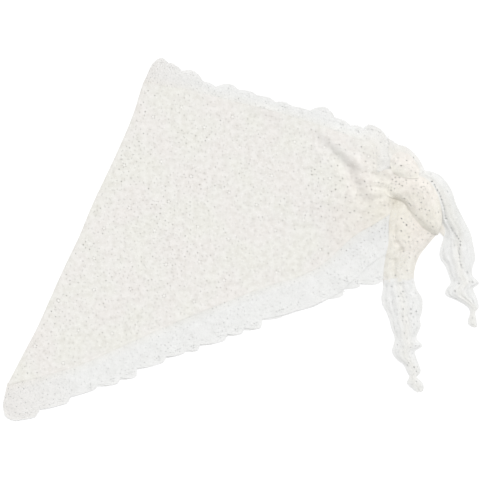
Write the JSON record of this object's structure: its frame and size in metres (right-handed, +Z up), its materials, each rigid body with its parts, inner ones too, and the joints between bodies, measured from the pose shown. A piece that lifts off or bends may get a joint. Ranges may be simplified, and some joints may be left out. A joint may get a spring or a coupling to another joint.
{
  "type": "triangular hip scarf with lace trim, tied at the side and laid flat",
  "caption": "Light eyelet-cloth hip scarf with scalloped lace edges, folded in half and laid flat, its narrow ends tied in a side knot with free tails.",
  "frame": {"origin": "on the surface it lies on, under the middle of the folded scarf's box", "axes": "+Z up off the surface, +X from the fold's lower end towards the knot and the tails, +Y towards the waist edge"},
  "size_m": [0.7138, 0.5382, 0.0271],
  "materials": {
    "eyelet_cloth": "matt off-white cotton voile worked all over with tiny stitched eyelets",
    "lace": "soft off-white lace, net ground with worked scallops along the edge"
  },
  "bodies": {
    "root": {"panel_back": "eyelet_cloth", "panel_front": "eyelet_cloth", "waist_lace_back": "lace", "waist_lace_front": "lace", "side_lace_back": "lace", "side_lace_front": "lace", "knot_core": "eyelet_cloth", "knot_band": "eyelet_cloth", "knot_roll": "eyelet_cloth", "knot_lace": "lace", "tail_inner": "eyelet_cloth", "tail_inner_lace": "lace", "tail_outer": "eyelet_cloth", "tail_outer_lace": "lace"}
  },
  "joints": []
}
